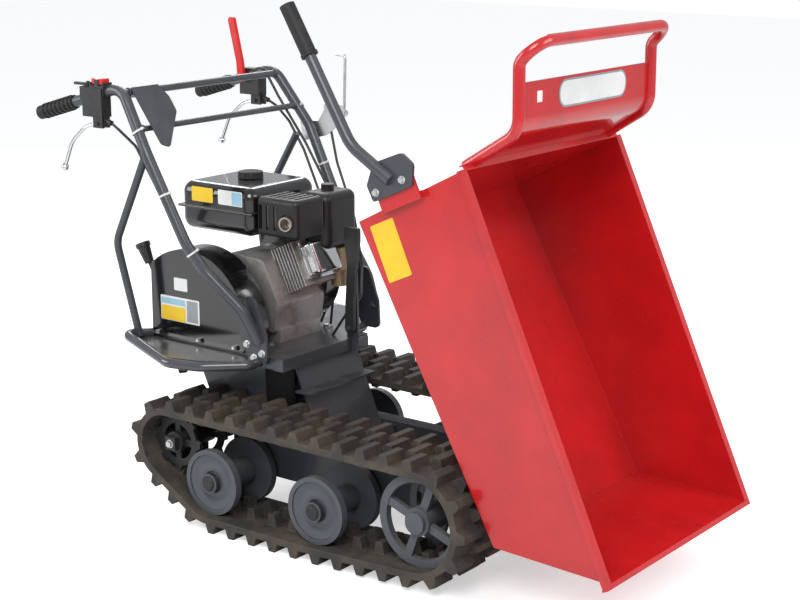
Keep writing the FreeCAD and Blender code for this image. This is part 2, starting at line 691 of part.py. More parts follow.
def gear_lever():
    """The shift lever behind the engine, with its plastic knob, on a pin behind the rear beam."""
    x, y, z = GEAR_LEVER_PIVOT
    lever = tube([(x, y, z), (x - 18, y, z + 70), (x - 72, y, z + 158)], 5, [0, 60, 0])
    lean = V(-0.5, 0, 1)
    knob = fuse(Part.makeCone(11, 16, 46, V(x - 72, y, z + 156), lean),
                Part.makeCylinder(18, 10, V(x - 90, y, z + 192), lean))
    eye = y_cyl(x, z, 12, y - 5.6, y + 5.6)
    return fuse(lever, eye, knob).cut(y_cyl(x, z, 5 + FIT, y - 8, y + 8))


def lock_rod():
    """A plain push-pull rod with a knob, out of the rear of the right-hand skirt."""
    rod_body = rod(*LOCK_ROD, 5)
    start, end = V(*LOCK_ROD[0]), V(*LOCK_ROD[1])
    knob = Part.makeCylinder(9, 16, end, end - start)
    return fuse(rod_body, knob)


# ---------------------------------------------------------------- skip and its fittings

def tipped(shape):
    """Move a piece drawn level, with the rear rim at the origin, to the tipped place."""
    shape = shape.copy()
    shape.rotate(V(0, 0, 0), V(0, 1, 0), TIP_ANGLE)
    shape.translate(TIPPED_RIM)
    return shape


def floor_depth(x):
    return REAR_DEPTH - (x - 14) * (REAR_DEPTH - FRONT_DEPTH) / (716 - 14)


def skip_tub():
    t, half = SKIP_T, SKIP_W / 2
    outer = xz_plate([(0, 0), (14, -REAR_DEPTH), (716, -FRONT_DEPTH), (838, 0)], 0, -half, half)
    inner = xz_plate([(t, 1), (14 + t, t - REAR_DEPTH), (716 - t, t - FRONT_DEPTH), (838 - t, 1)], 0,
                     t - half, half - t)
    pieces = [outer.cut(inner)]
    for side in (-1, 1):
        y0, y1 = sorted((side * half, side * (half + RIM)))
        lip0, lip1 = sorted((side * (half + RIM - t), side * (half + RIM)))
        pieces += [box(0, SKIP_L, y0, y1, -t, 0), box(0, SKIP_L, lip0, lip1, -12, 0)]
        ear0, ear1 = sorted((side * 86, side * 94))
        ear = xz_plate([(330, -floor_depth(330) + 2), (470, -floor_depth(470) + 2), (424, -300), (400, -316),
                        (376, -300)], [0, 0, 10, 12, 10], ear0, ear1)
        pieces.append(ear.cut(y_cyl(PIVOT_LOCAL.x, PIVOT_LOCAL.z, PIVOT_R + FIT, ear0 - 1, ear1 + 1)))
        rail0, rail1 = sorted((side * 150, side * 180))
        pieces.append(xz_plate([(60, -floor_depth(60) + 1), (560, -floor_depth(560) + 1),
                                (540, -floor_depth(540) - 18), (80, -floor_depth(80) - 18)], 0, rail0, rail1))
    pieces.append(box(836, SKIP_L, -half - RIM, half + RIM, -t, 0))
    pieces.append(box(SKIP_L - t, SKIP_L, -half - RIM, half + RIM, -14, 0))
    pieces.append(box(-10, 2, -half, half, -t, 0))
    pieces.append(box(-10, -7, -half, half, -12, 0))
    pieces.append(xz_plate([(-58, -214), (-58, -112), (20, -112), (20, -214)], [8, 8, 0, 0], -301, -297))
    pieces.append(box(5, 20, -300, -half + 1, -214, -112))
    pieces.append(xz_plate([(-20, -74), (12, -76), (4, -44), (-20, -50)], [8, 0, 0, 8], 24, 28))
    pieces.append(y_cyl(-12, -62, 5, 24, 56))
    return tipped(fuse(*pieces))


GUARD_PATH = [(-8, -250, -22), (-27, -250, 118), (-148, -250, 172), (-168, -250, 226),
              (-168, 250, 226), (-148, 250, 172), (-27, 250, 118), (-8, 250, -22)]


def guard_tube():
    bar = tube(GUARD_PATH, 12, [0, 50, 25, 42, 42, 25, 50, 0])
    return tipped(bar).cut(skip_tub())


def guard_sheet():
    """Curved sheet welded between the guard's uprights, up to the open hand slot."""
    front = [(-9, 0, 2), (-27, 0, 118), (-112, 0, 156)]
    back = [(x - 1.5, y, z - 2.5) for x, y, z in front]
    face = rounded_wire(front, [0, 50, 0], closed=False)
    rear = rounded_wire(back, [0, 48, 0], closed=False)
    ends = [Part.LineSegment(V(*front[k]), V(*back[k])).toShape() for k in (0, -1)]
    outline = Part.Wire(Part.__sortEdges__(face.Edges + rear.Edges + ends))
    sheet = Part.Face(outline).extrude(V(0, 476, 0))
    sheet.translate(V(0, -238, 0))
    return tipped(sheet).cut(guard_tube()).cut(skip_tub())


def dump_lever():
    """The long lever for tipping the skip by hand, welded to its two-bolt plate."""
    bar = tube([(-436, DUMP_Y - 3, -262), (-130, DUMP_Y - 3, -226), (-34, DUMP_Y - 3, -160)], 12, [0, 90, 0])
    plate = xz_plate([(-8, -222), (-8, -118), (-46, -98), (-76, -116), (-80, -190), (-44, -224)],
                     [6, 6, 12, 12, 16, 8], DUMP_Y, DUMP_Y + 6.5)
    return tipped(fuse(bar.cut(box(-90, 40, DUMP_Y + 6, 0, -300, 0)), plate))


def dump_grip():
    start, end = V(-436, DUMP_Y - 3, -262), V(-130, DUMP_Y - 3, -226)
    along = (end - start).normalize()
    sleeve = fuse(Part.makeCylinder(16, 112, start - along * 4, along),
                  Part.makeCylinder(18, 6, start + along * 104, along))
    return tipped(sleeve).cut(dump_lever())


def lever_bolts():
    spots = ((-23.5, -207), (-26.5, -135))
    return tipped(compound(*[hex_bolt((x, DUMP_Y, z), (0, -1, 0), 6.5) for x, z in spots]))


# ---------------------------------------------------------------- latch

def latch_hook():
    """The tall hook on the latch post; its nose stands just behind the skip's striker pin."""
    x, z = LATCH_PIVOT.x, LATCH_PIVOT.z
    blade = xz_plate([(x - 12, z - 12), (x + 12, z - 12), (x + 14, z + 60), (x + 20, z + 150), (x + 28, z + 206),
                      (x + 28, z + 236), (x - 12, z + 236), (x - 12, z + 196), (x - 4, z + 150), (x - 10, z + 60)],
                     [11, 11, 60, 60, 0, 6, 8, 8, 60, 60], 38, 48)
    return blade.cut(y_cyl(x, z, 6 + FIT, 30, 60))


def latch_plate():
    """Zinc plate on the left bar, with the pin of the release rod."""
    plate = xz_plate([(-236, 838), (-226, 786), (-150, 806), (-96, 846), (-96, 884), (-150, 880), (-178, 838)],
                     [6, 6, 14, 8, 8, 8, 8], 291, 294)
    pin = y_cyl(TRIGGER_PIVOT.x, TRIGGER_PIVOT.z, 4, 293, 308)
    block = box(-150, -122, 280, 291, 846, 884)
    lug = y_cyl(-190, 818, 6, 270, 292)
    return fuse(plate, pin, block, lug).cut(handlebar())


def latch_trigger():
    x, y, z = TRIGGER_PIVOT
    bar = tube([(x, y + 4, z), (x + 4, y + 4, z + 140), (x - 24, y + 4, z + 141)], 3.5, [0, 8, 0])
    eye = y_cyl(x, z, 9, y - 3.7, y + 8)
    return fuse(bar, eye).cut(y_cyl(x, z, 4 + FIT, y - 8, y + 12))


# ---------------------------------------------------------------- cables

CABLE_R = 3.2


def cable(points, bends):
    return tube(points, CABLE_R, bends)


def steering_cable_route():
    x, y, z = LEVER_PIVOT
    return [(x + 34, y, z + 2), (-292, 268, 870), (-246, 262, 836), (-200, 262, 770), (-150, 254, 680)]


def steering_cable(lower, bends):
    return cable(steering_cable_route() + lower, [0, 24, 40, 90] + bends + [0])


def control_cables():
    """Latch cable down the left bar, and the clutch cable beside it."""
    latch = cable([(-150, 300, 842), (-118, 290, 742), (-52, 272, 622), (30, 200, 520), (98, 110, 470),
                   (92, 64, 440), (60, 50, TRAY_Z + 4)], [0, 80, 90, 90, 40, 20, 0])
    clutch = cable([(-346, 232, 950), (-296, 224, 972), (-258, 236, 900), (-188, 254, 790), (-100, 252, 660),
                    (-42, 226, 580), (-20, 160, 500), (-10, 128, TRAY_Z + 4)], [0, 24, 50, 90, 90, 60, 60, 0])
    return compound(latch, clutch)


def frame_bolts():
    """Hexagon bolts of the handlebar feet, the struts, the belt cover and the engine."""
    bolts = []
    for x, z in ((24, 412), (44, 384), (68, 396)):
        bolts.append(hex_bolt((x, -205, z), (0, -1, 0), 7))
        bolts.append(hex_bolt((x, 205, z), (0, 1, 0), 7))
    for x in (-270, -140, -30):
        bolts.append(hex_bolt((x, COVER_Y[0] - 5, TRAY_Z + 8), (0, 0, 1), 6))
    for x in (-60, 0):
        bolts.append(hex_bolt((x, -100, TRAY_Z + 4), (0, 0, 1), 7))
        bolts.append(hex_bolt((x, 100, TRAY_Z + 4), (0, 0, 1), 7))
    return compound(*bolts)


# ---------------------------------------------------------------- naming every piece

def add_pair(name, shape):
    nodes[name + "_left"] = shape
    nodes[name + "_right"] = mirrored(shape)


def seat(name, *others):
    """Notch a piece where others of its own body sit on it or pass through it."""
    for other in others:
        nodes[name] = nodes[name].cut(nodes[other])


def build():
    add_pair("track_frame", track_frame())
    add_pair("rubber_track", rubber_track())
    add_pair("road_wheel_rear", road_wheel(ROAD_X[0]))
    add_pair("road_wheel_front", road_wheel(ROAD_X[1]))
    add_pair("idler_wheel", idler_wheel())
    add_pair("sprocket", sprocket())
    nodes["upper_frame"] = upper_frame()
    nodes["gearbox"] = gearbox()
    nodes["side_steps"] = side_steps()
    pivot = pivot_point()
    nodes["pivot_shaft"] = y_cyl(pivot.x, pivot.z, PIVOT_R, -116, 116)
    add_pair("handlebar", handlebar())
    nodes["crossbars"] = crossbars()
    strut = rear_strut().cut(handlebar())
    nodes["rear_struts"] = compound(strut, mirrored(strut))
    nodes["control_panel"] = control_panel()
    add_pair("hand_grip", hand_grip())
    nodes["lever_perch_left"] = left_perch()
    nodes["lever_perch_right"] = right_perch()
    add_pair("steering_lever", steering_lever())
    nodes["clutch_lever"] = clutch_lever()
    nodes["throttle_lever"] = throttle_lever()
    nodes["stop_switch"] = stop_switch()
    nodes["steering_cable_left"] = steering_cable(
        [(-78, 240, 560), (-44, 190, 470), (-40, 128, TRAY_Z + 4)], [90, 60, 50])
    nodes["steering_cable_right"] = mirrored(steering_cable([(-118, 236, 610), (-112, 180, 590)], [100, 26]))
    nodes["control_cables"] = control_cables()
    nodes["crankcase"] = crankcase()
    nodes["cylinder"] = cylinder()
    nodes["rocker_cover"] = rocker_cover()
    nodes["fuel_tank"] = fuel_tank()
    nodes["fuel_cap"] = fuel_cap()
    nodes["muffler"] = muffler()
    nodes["muffler_guard"] = muffler_guard()
    nodes["air_cleaner"] = air_cleaner()
    nodes["carburettor"] = carburettor()
    nodes["recoil_cover"] = recoil_cover()
    nodes["recoil_handle"] = recoil_handle()
    nodes["engine_pulley"] = pulley(CRANK, ENGINE_PULLEY_R, -145, -121, CRANK_R, -40)
    nodes["gearbox_pulley"] = pulley(GEAR_IN, GEAR_PULLEY_R, -145, -121, 10, -62)
    nodes["drive_belt"] = drive_belt()
    nodes["belt_cover"] = belt_cover()
    nodes["gear_lever"] = gear_lever()
    nodes["lock_rod"] = lock_rod()
    nodes["skip_tub"] = skip_tub()
    nodes["guard_tube"] = guard_tube()
    nodes["guard_sheet"] = guard_sheet()
    nodes["dump_lever"] = dump_lever()
    nodes["dump_grip"] = dump_grip()
    nodes["lever_bolts"] = lever_bolts()
    nodes["latch_hook"] = latch_hook()
    nodes["latch_plate"] = latch_plate()
    nodes["latch_trigger"] = latch_trigger()
    nodes["frame_bolts"] = frame_bolts()
    seat("air_cleaner", "cylinder", "rocker_cover")
    seat("gearbox", "crankcase")
    seat("upper_frame", "track_frame_left", "track_frame_right", "control_cables")
    seat("side_steps", "handlebar_left", "handlebar_right")
    seat("rear_struts", "side_steps", "steering_cable_left", "steering_cable_right")
    seat("belt_cover", "side_steps")
    seat("frame_bolts", "side_steps", "belt_cover")
    seat("crossbars", "control_cables", "control_panel")
    seat("recoil_cover", "control_cables")


def centre_shift():
    """How far to move along X so that the whole machine is centred on the origin."""
    boxes = [shape.BoundBox for shape in nodes.values()]
    return -(min(b.XMin for b in boxes) + max(b.XMax for b in boxes)) / 2


build()
SHIFT = centre_shift()
for name, shape in nodes.items():
    moved = shape.copy()
    moved.translate(V(SHIFT, 0, 0))
    moved.exportStep("parts/" + name + ".step")
print("nodes", len(nodes), "shift", round(SHIFT, 2), "idler", round(IDLER_X, 2))
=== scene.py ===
import math
import random

import bmesh
import bpy
from mathutils import Matrix, Vector


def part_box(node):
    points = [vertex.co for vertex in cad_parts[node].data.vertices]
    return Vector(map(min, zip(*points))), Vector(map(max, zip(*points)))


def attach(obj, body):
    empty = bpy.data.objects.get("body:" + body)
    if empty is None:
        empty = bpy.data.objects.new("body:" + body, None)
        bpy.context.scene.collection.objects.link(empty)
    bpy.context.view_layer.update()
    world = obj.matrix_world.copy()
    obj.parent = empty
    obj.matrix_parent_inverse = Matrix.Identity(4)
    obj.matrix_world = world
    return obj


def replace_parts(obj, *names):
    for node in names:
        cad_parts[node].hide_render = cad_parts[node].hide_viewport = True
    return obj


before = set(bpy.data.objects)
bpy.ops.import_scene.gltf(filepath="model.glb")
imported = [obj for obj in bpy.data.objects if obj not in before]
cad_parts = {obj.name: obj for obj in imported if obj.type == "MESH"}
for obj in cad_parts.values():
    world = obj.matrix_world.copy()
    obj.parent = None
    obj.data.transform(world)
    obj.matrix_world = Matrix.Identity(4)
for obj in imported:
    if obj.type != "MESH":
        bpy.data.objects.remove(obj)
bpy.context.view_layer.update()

# Stage: a pale floor under the machine, soft lamps overhead and a camera off the front right
# corner. Positions in millimetres start at the rear road axle, as a builder would measure them.
low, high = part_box("road_wheel_rear_left")
axle_x = (low.x + high.x) / 2


def at(x, y, z):
    """A point measured in millimetres from the rear axle, as metres in the frame."""
    return Vector((axle_x + x / 1000, y / 1000, z / 1000))


floor_mesh = bmesh.new()
bmesh.ops.create_grid(floor_mesh, x_segments=1, y_segments=1, size=14)
floor_data = bpy.data.meshes.new("floor")
floor_mesh.to_mesh(floor_data)
floor_mesh.free()
floor = bpy.data.objects.new("floor", floor_data)
bpy.context.scene.collection.objects.link(floor)
pale = bpy.data.materials.new("pale_floor")
pale.use_nodes = True
ground = pale.node_tree
ground.nodes["Principled BSDF"].inputs["Base Color"].default_value = (0.80, 0.80, 0.80, 1)
ground.nodes["Principled BSDF"].inputs["Roughness"].default_value = 0.9
glow = ground.nodes.new("ShaderNodeEmission")
glow.inputs["Strength"].default_value = 0.52
nothing = ground.nodes.new("ShaderNodeEmission")
nothing.inputs["Strength"].default_value = 0
rays = ground.nodes.new("ShaderNodeLightPath")
to_eye = ground.nodes.new("ShaderNodeMixShader")
ground.links.new(rays.outputs["Is Camera Ray"], to_eye.inputs[0])
ground.links.new(nothing.outputs[0], to_eye.inputs[1])
ground.links.new(glow.outputs[0], to_eye.inputs[2])
together = ground.nodes.new("ShaderNodeAddShader")
ground.links.new(ground.nodes["Principled BSDF"].outputs[0], together.inputs[0])
ground.links.new(to_eye.outputs[0], together.inputs[1])
ground.links.new(together.outputs[0], ground.nodes["Material Output"].inputs["Surface"])
floor_data.materials.append(pale)

studio = bpy.data.worlds.new("studio")
bpy.context.scene.world = studio
studio.use_nodes = True
sky = studio.node_tree
soft = sky.nodes["Background"]
soft.inputs["Color"].default_value = (0.93, 0.96, 1, 1)
soft.inputs["Strength"].default_value = 0.55
bright = sky.nodes.new("ShaderNodeBackground")
bright.inputs["Color"].default_value = (1, 1, 1, 1)
paths = sky.nodes.new("ShaderNodeLightPath")
seen = sky.nodes.new("ShaderNodeMath")
seen.operation = "MAXIMUM"
sky.links.new(paths.outputs["Is Camera Ray"], seen.inputs[0])
sky.links.new(paths.outputs["Is Transmission Ray"], seen.inputs[1])
choose = sky.nodes.new("ShaderNodeMixShader")
sky.links.new(seen.outputs[0], choose.inputs[0])
sky.links.new(soft.outputs[0], choose.inputs[1])
sky.links.new(bright.outputs[0], choose.inputs[2])
sky.links.new(choose.outputs[0], sky.nodes["World Output"].inputs["Surface"])

for name, place, size, power in (("key", (1.6, -3.2, 3.4), 2.2, 120), ("fill", (3.4, 0.6, 2.2), 2.4, 60),
                                 ("back", (-2.4, 2.4, 3.0), 2.0, 70), ("side", (-2.8, -2.4, 1.8), 1.8, 45)):
    lamp = bpy.data.lights.new(name, "AREA")
    lamp.size, lamp.energy = size, power
    stand = bpy.data.objects.new(name, lamp)
    stand.location = place
    stand.rotation_euler = (Vector((0, 0, 0.5)) - Vector(place)).to_track_quat("-Z", "Y").to_euler()
    bpy.context.scene.collection.objects.link(stand)

lens = bpy.data.cameras.new("camera")
lens.lens, lens.sensor_width = 78.588, 36
camera = bpy.data.objects.new("camera", lens)
camera.location = (2.32506, -2.9904, 1.4187)
turn, down = math.radians(37.09), math.radians(13.60)
look = Vector((-math.sin(turn) * math.cos(down), math.cos(turn) * math.cos(down), -math.sin(down)))
camera.rotation_euler = look.to_track_quat("-Z", "Y").to_euler()
bpy.context.scene.collection.objects.link(camera)
bpy.context.scene.camera = camera
bpy.context.scene.view_settings.view_transform = "Standard"


# Rubber tracks: moulded belts with staggered lugs outside and guide lugs inside. The rubber is
# dull and dusty, paler where soil has dried on the lugs.
class Socket:
    """One output of a material's nodes. Arithmetic on it adds Math nodes."""

    def __init__(self, tree, output):
        self.tree, self.output = tree, output

    def sum(self, operation, first, second):
        node = self.tree.nodes.new("ShaderNodeMath")
        node.operation = operation
        for into, value in zip(node.inputs, (first, second)):
            if isinstance(value, Socket):
                self.tree.links.new(value.output, into)
            else:
                into.default_value = value
        return Socket(self.tree, node.outputs[0])

    def __add__(self, other):
        return self.sum("ADD", self, other)

    def __sub__(self, other):
        return self.sum("SUBTRACT", self, other)

    def __rsub__(self, other):
        return self.sum("SUBTRACT", other, self)

    def __mul__(self, other):
        return self.sum("MULTIPLY", self, other)

    __radd__, __rmul__ = __add__, __mul__


class Finish:
    """A material on Object coordinates, built up node by node round one shader."""

    def __init__(self, name, **shader):
        self.material = bpy.data.materials.new(name)
        self.material.use_nodes = True
        self.tree = self.material.node_tree
        self.shader = self.tree.nodes["Principled BSDF"]
        for socket, value in shader.items():
            self.shader.inputs[socket.replace("_", " ")].default_value = value
        self.place = self.node("ShaderNodeTexCoord", out="Object")

    def node(self, kind, settings=(), values=(), out=0):
        node = self.tree.nodes.new(kind)
        for setting, value in dict(settings).items():
            setattr(node, setting, value)
        for into, value in dict(values).items():
            if isinstance(value, Socket):
                self.tree.links.new(value.output, node.inputs[into])
            else:
                node.inputs[into].default_value = value
        return Socket(self.tree, node.outputs[out])

    def feed(self, **sockets):
        for socket, value in sockets.items():
            self.tree.links.new(value.output, self.shader.inputs[socket.replace("_", " ")])

    def noise(self, scale, detail=3.0, rough=0.6, stretch=(1, 1, 1)):
        place = self.node("ShaderNodeMapping", values={"Vector": self.place, "Scale": stretch})
        return self.node("ShaderNodeTexNoise", values={"Vector": place, "Scale": scale, "Detail": detail,
                                                       "Roughness": rough})

    def between(self, value, start, stop):
        return self.node("ShaderNodeMapRange", {"interpolation_type": "SMOOTHSTEP"},
                         {"Value": value, "From Min": start, "From Max": stop})

    def mix(self, factor, first, second):
        return self.node("ShaderNodeMix", {"data_type": "RGBA"}, {0: factor, 6: first, 7: second}, out=2)

    def rounded(self, radius):
        """The surface's normal with its sharp edges rounded, and a mask of those edges."""
        soft_normal = self.node("ShaderNodeBevel", {"samples": 4}, {"Radius": radius})
        normal = self.node("ShaderNodeNewGeometry", out="Normal")
        same = self.node("ShaderNodeVectorMath", {"operation": "DOT_PRODUCT"},
                         {0: soft_normal, 1: normal}, "Value")
        return soft_normal, self.between(1 - same, 0.01, 0.12)

    def bump(self, height, depth, normal=None):
        values = {"Height": height, "Strength": 1.0, "Distance": depth}
        if normal:
            values["Normal"] = normal
        return self.node("ShaderNodeBump", values=values)

    def facing_up(self):
        normal = self.node("ShaderNodeNewGeometry", out="Normal")
        return self.between(self.node("ShaderNodeSeparateXYZ", values={"Vector": normal}, out="Z"), 0.3, 0.95)


def dress(finish, *names):
    """Puts a finish on CAD pieces."""
    for name in names:
        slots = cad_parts[name].material_slots
        if not slots:
            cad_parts[name].data.materials.append(finish.material)
        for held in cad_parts[name].material_slots:
            held.material = finish.material


def both(*names):
    return [name + side for name in names for side in ("_left", "_right")]


track_rubber = Finish("track_rubber", Specular_IOR_Level=0.3)
soft_normal, edges = track_rubber.rounded(0.003)
soil = track_rubber.between(track_rubber.noise(11, 6, 0.7), 0.38, 0.68)
grains = track_rubber.noise(420, 4, 0.7)
dark_rubber = track_rubber.mix(grains, (0.030, 0.027, 0.025, 1), (0.060, 0.054, 0.048, 1))
dirty = track_rubber.mix(soil * 0.75, dark_rubber, (0.115, 0.092, 0.070, 1))
track_rubber.feed(Base_Color=track_rubber.mix(edges * 0.35, dirty, (0.15, 0.13, 0.11, 1)),
                  Roughness=0.68 + soil * 0.25,
                  Normal=track_rubber.bump(grains + soil * 1.5, 0.0006, soft_normal))
dress(track_rubber, *both("rubber_track"))


# Road wheels and idlers: pressed steel discs in slate paint, rubbed bare and dusty at the
# tread. Each disc is dished, with a ring pressed into it round a dark plastic hub cap.
def coated(name, colour, roughness=0.4, coat=0.0, worn=0.25, dusty=0.25, under=(0.32, 0.31, 0.30, 1),
           dust=(0.30, 0.26, 0.21, 1), radius=0.0012):
    """Paint over metal: uneven gloss, fine peel, rubbed edges, and dust on what faces up."""
    paint = Finish(name, Coat_Roughness=0.08, Coat_Weight=coat)
    soft_normal, edges = paint.rounded(radius)
    cloud = paint.noise(7, 5, 0.62)
    fine = paint.noise(260, 3, 0.6)
    deep = tuple(c * 0.78 for c in colour[:3]) + (1,)
    tint = paint.mix(paint.between(cloud, 0.3, 0.7), colour, deep)
    rubbed = edges * paint.between(paint.noise(38, 5, 0.7), 0.48, 0.62) * worn
    settled = paint.facing_up() * paint.between(paint.noise(16, 6, 0.7), 0.35, 0.75) * dusty
    specks = paint.between(paint.noise(150, 2, 0.5), 0.70, 0.78) * dusty
    paint.feed(Base_Color=paint.mix(specks, paint.mix(settled, paint.mix(rubbed, tint, under), dust), dust),
               Roughness=roughness + cloud * 0.12 + settled * 0.4 + rubbed * 0.15,
               Metallic=rubbed * 0.8,
               Normal=paint.bump(fine + cloud * 0.4, 0.00008, soft_normal))
    return paint


wheel_paint = coated("wheel_paint", (0.082, 0.092, 0.106, 1), 0.42, worn=0.8, dusty=0.45,
                     under=(0.20, 0.14, 0.09, 1))
dress(wheel_paint, *both("road_wheel_rear", "road_wheel_front", "idler_wheel"))


def new_piece(name, shape, body, finish):
    """A finished piece at the origin, riding on a body of the frame."""
    bmesh.ops.recalc_face_normals(shape, faces=shape.faces)
    data = bpy.data.meshes.new(name)
    shape.to_mesh(data)
    shape.free()
    data.materials.append(finish.material)
    piece = bpy.data.objects.new(name, data)
    bpy.context.scene.collection.objects.link(piece)
    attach(piece, body)
    return piece


def spun(profile, steps=64, closed=False):
    """A ring or disc turned about the Y axis from (radius, along) points in millimetres."""
    shape = bmesh.new()
    points = [shape.verts.new((r / 1000, y / 1000, 0)) for r, y in profile]
    lines = [shape.edges.new(pair) for pair in zip(points, points[1:])]
    if closed:
        lines.append(shape.edges.new((points[-1], points[0])))
    bmesh.ops.spin(shape, geom=points + lines, cent=(0, 0, 0), axis=(0, 1, 0), angle=math.tau,
                   steps=steps, use_merge=True)
    bmesh.ops.remove_doubles(shape, verts=shape.verts, dist=1e-6)
    return shape


def smooth(piece, angle=35):
    for face in piece.data.polygons:
        face.use_smooth = True
    rounds = piece.modifiers.new("edges", "EDGE_SPLIT")
    rounds.split_angle = math.radians(angle)
    return piece


cap_plastic = Finish("cap_plastic", Base_Color=(0.022, 0.023, 0.026, 1))
scuffs = cap_plastic.noise(70, 5, 0.7)
cap_plastic.feed(Base_Color=cap_plastic.mix(cap_plastic.between(scuffs, 0.5, 0.8), (0.016, 0.017, 0.019, 1),
                                            (0.085, 0.075, 0.065, 1)),
                 Roughness=0.4 + scuffs * 0.3, Normal=cap_plastic.bump(cap_plastic.noise(500), 0.00005))

for side, sign in (("left", 1), ("right", -1)):
    for place in ("rear", "front"):
        low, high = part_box("road_wheel_" + place + "_" + side)
        hub = Vector(((low.x + high.x) / 2, sign * 0.240, (low.z + high.z) / 2))
        dish = spun([(63.6, 56.4), (63.6, 65), (60, 64.6), (50, 60.6), (42, 59.8), (37, 62.4), (31, 63.2),
                     (25, 62.2), (22.3, 59.0), (22.3, 56.4)], closed=True)
        cap = spun([(0, 79.0), (9, 78.8), (13.5, 78.2), (14.5, 76.3), (18.5, 76.3), (21, 75.4), (22.6, 73.4),
                    (22.6, 64.2)])
        for shape, name, finish, slot_name in ((dish, "wheel_dish", wheel_paint, "wheel_paint"),
                                               (cap, "hub_cap", cap_plastic, "black_plastic")):
            if sign < 0:
                bmesh.ops.scale(shape, vec=(1, -1, 1), verts=shape.verts)
            bmesh.ops.translate(shape, vec=hub, verts=shape.verts)
            smooth(new_piece(name + "_" + place + "_" + side, shape, "road_" + place + "_" + side, finish), 40)


# Sprockets, gearbox and small iron: cast and cut steel in thin black paint, oily and dusty.
# The hub blocks of the sprockets carry zinc bolts.
black_iron = coated("black_iron", (0.020, 0.020, 0.022, 1), 0.42, worn=0.7, dusty=0.35)
dress(black_iron, *both("sprocket"), "gearbox", "latch_hook", "lock_rod")

zinc = Finish("zinc_plate", Metallic=1.0)
spangle = zinc.noise(120, 4, 0.7)
soft_normal, edges = zinc.rounded(0.0006)
zinc.feed(Base_Color=zinc.mix(spangle, (0.50, 0.51, 0.50, 1), (0.74, 0.75, 0.74, 1)),
          Roughness=0.24 + spangle * 0.22, Normal=zinc.bump(spangle, 0.00004, soft_normal))
dress(zinc, "frame_bolts", "lever_bolts", "latch_plate", "latch_trigger")


def hex_head(place, axis, size):
    """A bevelled hexagon bolt head on a washer, in millimetres across its corners' radius."""
    shape = bmesh.new()
    bmesh.ops.create_cone(shape, cap_ends=True, segments=6, radius1=size / 1000, radius2=size / 1000,
                          depth=size * 0.7 / 1000,
                          matrix=Matrix.Translation((0, 0, size * 0.35 / 1000 + 0.0014)))
    rim = [e for e in shape.edges if all(v.co.z > size * 0.5 / 1000 for v in e.verts)]
    bmesh.ops.bevel(shape, geom=rim, offset=size * 0.12 / 1000, affect="EDGES", segments=2, profile=0.5,
                    material=-1)
    bmesh.ops.create_cone(shape, cap_ends=True, segments=24, radius1=size * 1.3 / 1000,
                          radius2=size * 1.22 / 1000, depth=0.0014,
                          matrix=Matrix.Translation((0, 0, 0.0007)))
    bmesh.ops.rotate(shape, verts=shape.verts, matrix=Vector(axis).to_track_quat("Z", "Y").to_matrix())
    bmesh.ops.translate(shape, verts=shape.verts, vec=place)
    return shape


def bolts(name, body, places):
    """Several bolt heads in one piece, from (place, axis, size) rows."""
    shape = bmesh.new()
    for place, axis, size in places:
        one = hex_head(place, axis, size)
        data = bpy.data.meshes.new("head")
        one.to_mesh(data)
        one.free()
        shape.from_mesh(data)
        bpy.data.meshes.remove(data)
    return new_piece(name, shape, body, zinc)


for side, sign in (("left", 1), ("right", -1)):
    bolts("sprocket_bolt_" + side, "sprocket_" + side, [(at(-120, sign * 312, 178), (0, sign, 0), 8)])


# Frames: square tube, folded plate and round bar, welded and then powder coated dark slate,
# with a soft sheen. The steps are the shiniest, and carry dust and shoe marks.
frame_paint = coated("frame_paint", (0.050, 0.056, 0.067, 1), 0.30, coat=0.25, worn=0.35, dusty=0.30)
dress(frame_paint, *both("track_frame", "handlebar"), "upper_frame", "crossbars", "rear_struts",
      "control_panel", "dump_lever")
step_paint = coated("step_paint", (0.052, 0.057, 0.066, 1), 0.14, coat=0.5, worn=0.4, dusty=0.28)
dress(step_paint, "side_steps")

bare_steel = Finish("bare_steel", Metallic=1.0)
turning = bare_steel.noise(60, 4, 0.6, (1, 30, 1))
bare_steel.feed(Base_Color=bare_steel.mix(turning, (0.34, 0.33, 0.31, 1), (0.55, 0.54, 0.52, 1)),
                Roughness=0.28 + turning * 0.2, Normal=bare_steel.bump(turning, 0.00003))
dress(bare_steel, "pivot_shaft", "engine_pulley", "gearbox_pulley")

random.seed(4)


def weld(name, place, axis, radius, body):
    """A rippled weld bead laid round a tube."""
    shape = bmesh.new()
    ripple = bmesh.ops.create_circle(shape, segments=8, radius=0.0024,
                                     matrix=Matrix.Translation((radius / 1000, 0, 0))
                                     @ Matrix.Rotation(math.pi / 2, 4, "X"))
    ring = list(shape.edges)
    bmesh.ops.spin(shape, geom=ripple["verts"] + ring, cent=(0, 0, 0), axis=(0, 0, 1), angle=math.tau,
                   steps=56, use_merge=True)
    bmesh.ops.remove_doubles(shape, verts=shape.verts, dist=1e-7)
    for vertex in shape.verts:
        ripples = math.sin(math.atan2(vertex.co.y, vertex.co.x) * 22)
        vertex.co *= 1 + 0.012 * ripples + random.uniform(-0.004, 0.004)
    bmesh.ops.rotate(shape, verts=shape.verts, matrix=Vector(axis).to_track_quat("Z", "Y").to_matrix())
    bmesh.ops.translate(shape, verts=shape.verts, vec=place)
    return smooth(new_piece(name, shape, body, frame_paint), 60)


for side, sign in (("left", 1), ("right", -1)):
    weld("upper_bar_weld_" + side, at(-281, sign * 246, 952), (0, 1, 0), 9, "chassis")
    weld("lower_bar_weld_" + side, at(-228, sign * 258, 876), (0, 1, 0), 7.5, "chassis")


